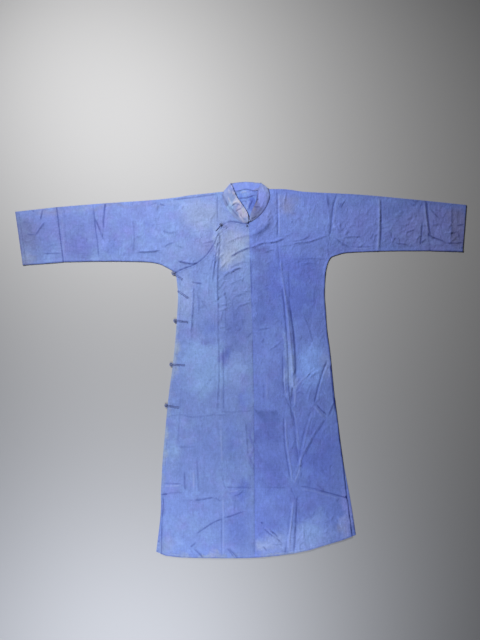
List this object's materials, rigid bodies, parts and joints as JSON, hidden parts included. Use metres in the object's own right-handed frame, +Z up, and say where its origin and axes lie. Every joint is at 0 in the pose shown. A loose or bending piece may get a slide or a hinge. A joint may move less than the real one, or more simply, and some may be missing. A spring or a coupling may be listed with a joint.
{
  "type": "changshan",
  "caption": "Long blue cotton robe laid flat, with a stand-up collar, a curved overlapping front closed by cord frogs at the wearer's right, and pieced sleeves.",
  "frame": {"origin": "centre of the bounding box's underside, on the surface that the robe lies on", "axes": "+X towards the wearer's left sleeve end, +Y from hem to collar, +Z up out of the front"},
  "size_m": [1.8022, 1.504, 0.013],
  "materials": {
    "deep_cotton": "plain-woven cotton, indigo-type blue, matt, worn",
    "faded_cotton": "plain-woven cotton, faded blue, matt, worn",
    "collar_cotton": "double plain-woven cotton, faded blue, rubbed pale at the edge",
    "frog_cord": "twisted dark slate-blue cotton cord"
  },
  "bodies": {
    "root": {"left_panel": "deep_cotton", "right_panel": "faded_cotton", "front_flap": "faded_cotton", "left_sleeve_end": "deep_cotton", "right_sleeve_end": "faded_cotton", "collar": "collar_cotton", "collar_button": "frog_cord", "chest_button": "frog_cord", "chest_loop": "frog_cord", "chest_tail": "frog_cord", "armpit_button": "frog_cord", "armpit_loop": "frog_cord", "side_button_1": "frog_cord", "side_button_2": "frog_cord", "side_button_3": "frog_cord", "side_loop_1": "frog_cord", "side_loop_2": "frog_cord", "side_loop_3": "frog_cord", "spare_loop": "frog_cord"}
  },
  "joints": []
}
